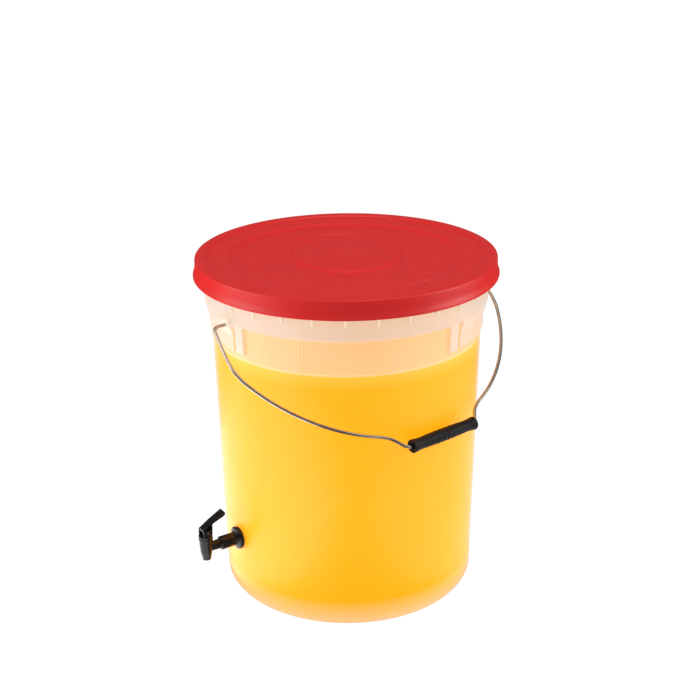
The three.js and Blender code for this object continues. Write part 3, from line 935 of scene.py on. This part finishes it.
@dataclass
class Bail:
    """The wire bail and its grip, drawn flat with x along the pivots, then hung."""

    pivot_height: float = 337.0
    end_play: float = 2.6
    rest: float = 37.2
    wire_radius: float = 1.85
    wire_end: float = 154.2
    bend_across: float = 177.7
    bend_radius: float = 6.0
    bow_radius: float = 195.0
    bow_set_back: float = 8.0
    reach: float = 195.5
    grip_shift: float = 2.0
    grip_length: float = 89.0
    grip_radius: float = 7.3
    grip_waist: float = 6.2
    grip_bore: float = 3.2

    def hung(self) -> Place:
        """The place of the flat drawing: turned about X past half a turn, and down."""
        a = math.radians(180 + self.rest)
        return Place(np.array([1.0, 0, 0]), np.array([0, math.cos(a), math.sin(a)]),
                     np.array([0, -math.sin(a), math.cos(a)]),
                     np.array([self.end_play, 0, self.pivot_height]))

    def path(self) -> np.ndarray:
        """The wire's line: a boss pin, a square bend, a bow and a crank, and their mirror.

        The bow is R (cos a, sin a), set back, and the bend is r (cos a, sin a) round
        its own centre.
        """
        a = np.radians(np.linspace(23, 69, 47))
        arc = self.bow_radius * np.stack([np.cos(a), np.sin(a)], axis=1)
        arc[:, 1] -= self.bow_set_back
        a = np.radians(np.linspace(-90, -10, 9))
        r, b = self.bend_radius, self.bend_across
        bend = np.stack([b - r + r * np.cos(a), r + r * np.sin(a)], axis=1)
        side = [(b + 2.9, 24), (b + 4.8, 41), (b + 5.2, 54)]
        crank = [(60.5, 179.4), (57, 183), (53.6, 187.6), (50.4, 192),
                 (46.5, self.reach - 0.4), (42.5, self.reach), (20, self.reach)]
        right = np.vstack([[(self.wire_end, 0)], bend, side, arc, crank])
        return np.vstack([right, right[::-1] * [-1, 1]])

    def wire(self, finishes: Finishes) -> None:
        """The wire: a circle carried along the path, square to it, with eased ends."""
        line = evened(self.path(), 1.2, 2.2)
        ahead = np.gradient(line, axis=0)
        ahead /= np.linalg.norm(ahead, axis=1, keepdims=True)
        # Each end closes in three rings: its centre, its eased edge, and the full wire.
        ease = 0.3
        ends = [0, 0, 0, *range(1, len(line) - 1), -1, -1, -1]
        line, ahead = line[ends], ahead[ends]
        line[2] += ease * ahead[2]
        line[-3] -= ease * ahead[-3]
        size = np.full(len(line), self.wire_radius)
        size[[0, -1]] = 0
        size[[1, -2]] -= ease
        side = np.stack([-ahead[:, 1], ahead[:, 0]], axis=1)
        around = np.radians(np.arange(20) * 18.0)
        across, up = np.cos(around), np.sin(around)
        flat = line[None] + across[:, None, None] * (side * size[:, None])[None]
        height = up[:, None] * size[None]
        points = np.concatenate([flat, height[..., None]], axis=-1)
        length = np.concatenate([[0], np.cumsum(np.linalg.norm(np.diff(line, axis=0), axis=1))])
        strand = np.stack(np.broadcast_arrays(
            length[None], across[:, None] * self.wire_radius, up[:, None] * self.wire_radius,
        ), axis=-1)
        skin = Skin()
        skin.grid(self.hung().of(points)[::-1], wrap_v=False, strand=strand[::-1])
        fitted(skin.made("bail_wire_bright"), finishes.wire, "bail", Slot.WIRE, "bail_wire")

    def grip(self, finishes: Finishes) -> None:
        """The grip: a hollow roll with flared mouths, waists and raised rings."""
        half, r = self.grip_length / 2, self.grip_radius
        flare = [
            (self.grip_bore, -half + 1.6, 0.5), (5.6, -half, 0.5), (r, -half, 1.0),
            (r - 0.3, -half + 4, 3.0), (self.grip_waist, -half + 12, 5.0),
            (r - 0.5, -half + 24, 5.0),
        ]
        # Four rings 7 mm apart, each a low crown between two eased shoulders.
        rings = [(r - drop, x + w, 0.4) for x in (-10.5, -3.5, 3.5, 10.5)
                 for w, drop in ((-1.5, 0.5), (-0.7, 0.2), (0.7, 0.2), (1.5, 0.5))]
        other_flare = [(radius, -x, reach) for radius, x, reach in reversed(flare)]
        outline = rounded([*flare, *rings, *other_flare], 6, closed=True)
        hung = self.hung()
        centre = hung.origin + self.reach * hung.y + self.grip_shift * hung.x
        place = Place(hung.y, hung.z, hung.x, centre)
        skin = Skin()
        skin.grid(place.of(turned(outline, full_circle(64))))
        fitted(skin.made("grip_roll"), finishes.grip, "grip", Slot.BLACK, "bail_grip")


@dataclass
class Tap:
    """The lever tap: a shank through the wall, a chamber with a spout, and a lever."""

    azimuth: float = -95.5
    height: float = 74.6
    shank_radius: float = 8.0
    shank_bore: float = 5.4
    shank_end: float = -22.0
    flange_start: float = 3.6
    flange_radius: float = 13.0
    neck_radius: float = 7.6
    neck_end: float = 26.0
    pipe_radius: float = 4.7
    chamber_out: float = 43.0
    chamber_radius: float = 7.3
    chamber_bore: float = 4.8
    chamber_top: float = 12.4
    seat_height: float = -5.0
    spout_end: float = -14.0
    spout_bore: float = 3.2
    washer_radius: float = 12.6
    bonnet_radius: float = 7.8
    bonnet_top: float = 16.4
    stem_hole: float = 1.9
    lug_half_width: float = 5.0
    lug_rise: float = 3.6
    lug_faces: tuple[float, float] = (5.4, 6.8)
    pin_height: float = 20.5
    lever_half_width: float = 5.0
    cheek_inner: float = 3.0
    cam_inner: float = 1.9
    cam_radius: float = 2.9
    valve_travel: float = 1.3
    spring_low: float = -1.4
    spring_high: float = 8.7
    spring_radius: float = 3.8
    spring_wire: float = 0.35
    spring_turns: int = 5

    def axes(self) -> tuple[np.ndarray, np.ndarray, np.ndarray]:
        """Unit vectors across the tap, out from the wall, and up."""
        a = math.radians(self.azimuth)
        across = np.array([math.cos(a), math.sin(a), 0])
        return across, np.array([math.sin(a), -math.cos(a), 0]), np.array([0, 0, 1.0])

    def along(self, tub: Tub) -> Place:
        """The place of a drawing that is turned about the shank, from the wall out."""
        across, out, up = self.axes()
        return Place(across, up, out, out * tub.wall(self.height) + up * self.height)

    def upright(self, tub: Tub) -> Place:
        """The place of a drawing that is turned about the chamber; y runs inward."""
        across, out, up = self.axes()
        reach = tub.wall(self.height) + self.chamber_out
        return Place(across, -out, up, out * reach + up * self.height)

    def body(self, tub: Tub, finishes: Finishes) -> None:
        """Shank, flange, neck and chamber."""
        f, flange, neck = self.flange_start, self.flange_radius, self.neck_radius
        shank, bore, end = self.shank_radius, self.shank_bore, self.shank_end
        out = self.chamber_out - 1
        shank_outline = rounded([
            (bore, end, 0.3), (shank, end, 0.8), (shank, f, 0.1), (flange, f, 0.4),
            (flange, f + 1.8, 0.8), (flange - 1.4, f + 3.1, 0.9), (neck + 1, f + 3.6, 0.8),
            (neck, f + 5.2, 0.8), (neck, self.neck_end, 0.9),
            (self.pipe_radius + 0.3, self.neck_end + 1.2, 0.8), (self.pipe_radius, out - 7, 2.0),
            (bore + 1, out, 0.4), (bore, out, 0.2),
        ], closed=True)
        wide, bore, top = self.chamber_radius, self.chamber_bore, self.chamber_top
        spout, tip, seat = self.spout_bore, self.spout_end, self.seat_height
        chamber_outline = rounded([
            (spout, tip, 0.3), (spout + 1.6, tip, 0.9), (spout + 1.8, tip + 2.5, 0.8),
            (wide - 0.9, seat - 0.5, 2.0), (wide, 4.4, 1.5), (wide + 0.3, top - 1.2, 0.4),
            (wide + 0.7, top - 0.9, 0.2), (wide + 0.7, top, 0.3), (bore, top, 0.3),
            (bore, seat, 0.2), (spout, seat, 0.2),
        ], closed=True)
        skin = Skin()
        skin.grid(self.along(tub).of(turned(shank_outline, full_circle(72))))
        skin.grid(self.upright(tub).of(turned(chamber_outline, full_circle(72))))
        fitted(skin.made("tap_shank_and_chamber"), finishes.black, "bucket", Slot.BLACK,
               "tap_body")

    def washer(self, tub: Tub, finishes: Finishes) -> None:
        """The outer washer, pinched between the wall's pad and the flange."""
        hole, edge, far = self.shank_radius + 0.3, self.washer_radius, self.flange_start - 0.3
        outline = rounded([
            (hole, far - 2, 0.4), (edge, far - 2, 0.7), (edge, far, 0.7), (hole, far, 0.4),
        ], closed=True)
        skin = Skin()
        skin.grid(self.along(tub).of(turned(outline, full_circle(64))))
        fitted(skin.made("outer_washer"), finishes.washer, "bucket", Slot.WASHER,
               "tap_outer_washer")

    def bonnet(self, tub: Tub, finishes: Finishes) -> None:
        """The cap on the chamber, and the two lugs that carry the pin."""
        edge, plug, hole = self.bonnet_radius, self.chamber_bore - 0.3, self.stem_hole
        top, foot = self.bonnet_top, self.chamber_top + 0.3
        cap = rounded([
            (hole, foot - 3.3, 0.2), (plug, foot - 3.3, 0.3), (plug, foot, 0.2),
            (edge, foot, 0.3), (edge, top, 0.9), (hole, top, 0.3),
        ], closed=True)
        half, crown = self.lug_half_width, self.pin_height + self.lug_rise
        lug = rounded([
            (-half, top - 0.8, 0.1), (half, top - 0.8, 0.1), (half, crown, 1.2),
            (-half, crown, 1.2),
        ], closed=True)
        place = self.upright(tub)
        skin = Skin()
        skin.grid(place.of(turned(cap, full_circle(64))))
        near, far = self.lug_faces
        for low, high in ((near, far), (-far, -near)):
            skin.grid(place.of(slab(lug, low, high, 0.3)), wrap_v=False, capped=True)
        fitted(skin.made("bonnet_and_lugs"), finishes.black, "bucket", Slot.BLACK,
               "tap_bonnet")

    def lever(self, tub: Tub, finishes: Finishes) -> None:
        """The lever: a paddle and roof at full width over two cheeks with cams.

        A cam is a circle about the pin whose radius grows by the valve's travel while
        its azimuth falls from 90 to 45 degrees.
        """
        p, w = self.pin_height, self.lever_half_width
        paddle = rounded([
            (5.4, p - 2.9, 0.3), (6.6, p - 2.9, 0.3), (7.0, p + 9.4, 1.2), (21.0, p + 14.6, 0.8),
            (23.3, p + 16.6, 0.9), (23.1, p + 19.2, 0.4), (22.0, p + 20.0, 0.4),
            (7.0, p + 12.0, 1.0), (-4.8, p + 4.6, 0.6), (-4.7, p + 2.4, 0.3), (5.4, p + 8.8, 0.6),
        ], closed=True)
        cheek = rounded([
            (-4.5, p + 0.6, 0.6), (-2.4, p - 1.9, 0.8), (0, p - 2.9, 0.8), (6.4, p - 2.9, 0.3),
            (6.6, p + 9.4, 0.3), (-4.6, p + 2.9, 0.3),
        ], closed=True)
        turn = np.arange(10, 370, 20)
        lift = self.valve_travel * np.clip(90 - turn, 0, 45) / 45
        r, a = self.cam_radius + lift, np.radians(turn)
        lobe = np.stack([r * np.cos(a), p + r * np.sin(a)], axis=1)
        place = self.upright(tub)
        skin = Skin()
        skin.grid(place.of(slab(paddle, -w, w, 0.5)), wrap_v=False, capped=True)
        for side in (1, -1):
            cheek_faces = sorted((side * self.cheek_inner, side * (w - 0.05)))
            cam_faces = sorted((side * self.cam_inner, side * (self.cheek_inner + 0.2)))
            skin.grid(place.of(slab(cheek, *cheek_faces, 0.3)), wrap_v=False, capped=True)
            skin.grid(place.of(slab(lobe, *cam_faces, 0.1)), wrap_v=False, capped=True)
        fitted(skin.made("lever_paddle"), finishes.black, "lever", Slot.BLACK, "tap_lever")

    def spring(self, tub: Tub, finishes: Finishes) -> None:
        """The return spring: a circle carried up a helix.

        The helix is (r cos a, r sin a, low + rise a), so it runs along
        (-sin a, cos a, rise / r).
        """
        whole = 2 * math.pi * self.spring_turns
        a = np.linspace(0, whole, 24 * self.spring_turns + 1)
        rise = (self.spring_high - self.spring_low) / whole
        out = np.stack([np.cos(a), np.sin(a), 0 * a], axis=1)
        ahead = np.stack([-np.sin(a), np.cos(a), 0 * a + rise / self.spring_radius], axis=1)
        ahead /= np.linalg.norm(ahead, axis=1, keepdims=True)
        line = out * self.spring_radius + np.outer(self.spring_low + rise * a, [0, 0, 1])
        around = np.radians(np.arange(10) * 36.0)[:, None, None]
        ring = np.cos(around) * out + np.sin(around) * np.cross(ahead, out)
        place = self.upright(tub)
        skin = Skin()
        skin.grid(place.of(line + self.spring_wire * ring), wrap_v=False, capped=True)
        piece = fitted(skin.made("return_spring"), finishes.spring, "bucket", Slot.SPRING,
                       "tap_spring")
        top = self.spring_high + self.spring_wire
        anchor = place.of(np.array([0, 0, top])) * MM
        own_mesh(piece)

    def build(self, tub: Tub, finishes: Finishes) -> None:
        """Makes the tap's pieces and dresses them."""
        self.body(tub, finishes)
        self.washer(tub, finishes)
        self.bonnet(tub, finishes)
        self.lever(tub, finishes)
        self.spring(tub, finishes)


# The studio


@dataclass
class Studio:
    """The camera, a white floor and room, three soft lights and two low cards.

    The camera's place and the lights' are in metres, its turns in radians.
    """

    camera_azimuth: float = -38.5
    distance: float = 1.2131
    eye_height: float = 0.7487
    pitch: float = 0.3771
    yaw: float = 0.0028
    roll: float = -0.0087
    lens: float = 59.32
    floor_radius: float = 6000.0
    seen_white: float = 1.05
    room_light: float = 0.42
    mirrored_room_light: float = 0.16
    room_tint: tuple[float, float, float, float] = (1, 0.985, 0.965, 1)
    paper: tuple[float, float, float, float] = (0.5, 0.5, 0.5, 1)
    mirrored_paper: tuple[float, float, float, float] = (0.03, 0.03, 0.03, 1)
    aim_height: float = 0.2
    card_away: float = 0.45
    card_size: tuple[float, float] = (0.8, 0.6)

    def camera(self) -> None:
        """The camera: pitched, yawed and rolled, then swung round to its azimuth."""
        p, y, r = self.pitch, self.yaw, self.roll
        ahead = np.array([math.sin(y) * math.cos(p), math.cos(y) * math.cos(p), -math.sin(p)])
        level = np.array([math.cos(y), -math.sin(y), 0])
        over = np.cross(level, ahead)
        right = level * math.cos(r) + over * math.sin(r)
        up = -level * math.sin(r) + over * math.cos(r)
        turn = Matrix.Rotation(math.radians(self.camera_azimuth), 4, "Z")
        pose = Matrix(np.stack([right, up, -ahead], axis=1).tolist())
        place = Matrix.Translation((0, -self.distance, self.eye_height))
        camera = bpy.data.objects.new("camera", bpy.data.cameras.new("camera"))
        camera.data.lens = self.lens
        camera.data.sensor_width = 36
        camera.matrix_world = turn @ place @ pose.to_4x4()
        bpy.context.scene.collection.objects.link(camera)
        bpy.context.scene.camera = camera

    def panel(self, name: str, size: tuple[float, float], watts: float, place: Vector,
              turn: Euler) -> bpy.types.Object:
        """A rectangular light.

        Args:
            name: the light's name.
            size: width and height, in metres.
            watts: power.
            place: its middle, in metres.
            turn: its rotation from facing down.

        Returns:
            The light.
        """
        light = bpy.data.objects.new(name, bpy.data.lights.new(name, "AREA"))
        light.data.shape = "RECTANGLE"
        light.data.size, light.data.size_y = size
        light.data.energy = watts
        light.location, light.rotation_euler = place, turn
        bpy.context.scene.collection.objects.link(light)
        return light

    def softbox(self, name: str, side: float, elevation: float, away: float,
                size: tuple[float, float], watts: float) -> None:
        """A rectangular light that faces the middle of the bucket.

        Args:
            name: the light's name.
            side: azimuth from the camera's, in degrees, positive to its right.
            elevation: degrees above the horizon.
            away: metres from the bucket.
            size: width and height, in metres.
            watts: power.
        """
        a, e = math.radians(self.camera_azimuth + side), math.radians(elevation)
        back = Vector((math.sin(a) * math.cos(e), -math.cos(a) * math.cos(e), math.sin(e)))
        self.panel(name, size, watts, Vector((0, 0, self.aim_height)) + back * away,
                   back.to_track_quat("Z", "Y").to_euler())

    def low_card(self, name: str, side: float, watts: float) -> None:
        """A bright card on the floor beside the tub, which lights it from below.

        Args:
            name: the card's name.
            side: azimuth from the camera's, in degrees, positive to its right.
            watts: power.
        """
        a = math.radians(self.camera_azimuth + side)
        place = Vector((self.card_away * math.sin(a), -self.card_away * math.cos(a), 0.01))
        card = self.panel(name, self.card_size, watts, place, Euler((math.pi, 0, a)))
        card.visible_camera = False

    def room(self) -> None:
        """White behind the bucket, a dimmer even light on it, and dimmer yet in gloss."""
        world = bpy.data.worlds.new("white_room")
        world.use_nodes = True
        tree = world.node_tree
        tree.nodes.clear()
        seen = node(tree, "ShaderNodeBackground",
                    {"Color": (1, 1, 1, 1), "Strength": self.seen_white})
        ray = node(tree, "ShaderNodeLightPath")
        dimmed = node(tree, "ShaderNodeMapRange",
                      {0: ray.outputs["Is Glossy Ray"], 3: self.room_light,
                       4: self.mirrored_room_light})
        lit = node(tree, "ShaderNodeBackground",
                   {"Color": self.room_tint, "Strength": dimmed.outputs[0]})
        both = node(tree, "ShaderNodeMixShader",
                    {0: ray.outputs["Is Camera Ray"], 1: lit.outputs[0], 2: seen.outputs[0]})
        node(tree, "ShaderNodeOutputWorld", {"Surface": both.outputs[0]})
        bpy.context.scene.world = world
        bpy.context.scene.view_settings.view_transform = "Standard"

    def floor(self) -> None:
        """A wide round floor that the camera sees white, and gloss sees dark.

        The pieces would otherwise mirror it as a pale haze over their colours.
        """
        skin = Skin()
        rings = np.stack([np.linspace(self.floor_radius, 0, 25), np.full(25, -0.15)], axis=1)
        skin.grid(turned(rings, full_circle(96)), wrap_v=False)
        floor = skin.made("floor")
        material, tree, shader = Finish("white_seamless_paper").begun()
        ray = node(tree, "ShaderNodeLightPath")
        paper = node(tree, "ShaderNodeMix",
                     {"Factor": ray.outputs["Is Glossy Ray"], "A": self.paper,
                      "B": self.mirrored_paper}, data_type="RGBA")
        tree.links.new(paper.outputs["Result"], shader.inputs["Base Color"])
        shader.inputs["Roughness"].default_value = 0.9
        seen = node(tree, "ShaderNodeEmission",
                    {"Color": (1, 1, 1, 1), "Strength": self.seen_white})
        both = node(tree, "ShaderNodeMixShader",
                    {0: ray.outputs["Is Camera Ray"], 1: shader.outputs[0],
                     2: seen.outputs[0]})
        tree.links.new(both.outputs[0], tree.nodes["Material Output"].inputs["Surface"])
        floor.data.materials.append(material)

    def build(self) -> None:
        """Sets the whole studio up."""
        self.camera()
        self.room()
        self.floor()
        self.softbox("left_softbox", -78, 22, 1.9, (1.1, 1.9), 20)
        self.softbox("right_softbox", 82, 22, 1.9, (1.1, 1.9), 19)
        self.softbox("overhead_softbox", 20, 80, 2.0, (1.6, 1.6), 10)
        self.low_card("left_card", -72, 3.4)
        self.low_card("right_card", 76, 1.5)


def main() -> None:
    """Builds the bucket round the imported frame."""
    logging.basicConfig(level=logging.INFO, format="%(message)s")
    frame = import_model()
    Studio().build()
    finishes = Finishes()
    tub, drink, bail, tap = Tub(), Drink(), Bail(), Tap()
    tub.build(finishes, tap.along(tub), drink.surface)
    drink.build(tub, finishes)
    Lid().build(finishes)
    bail.wire(finishes)
    bail.grip(finishes)
    tap.build(tub, finishes)
    kept = {
        "lid_seal": (finishes.seal, Slot.SEAL),
        "tap_seat_cup": (finishes.seal, Slot.SEAL),
        "tap_inner_washer": (finishes.washer, Slot.WASHER),
        "tap_back_nut": (finishes.black, Slot.BLACK),
        "tap_stem": (finishes.black, Slot.BLACK),
        "tap_pin": (finishes.spring, Slot.SPRING),
    }
    for name, (finish, slot) in kept.items():
        carried(frame["nodes"][name], finish)


if __name__ == "__main__":
    main()
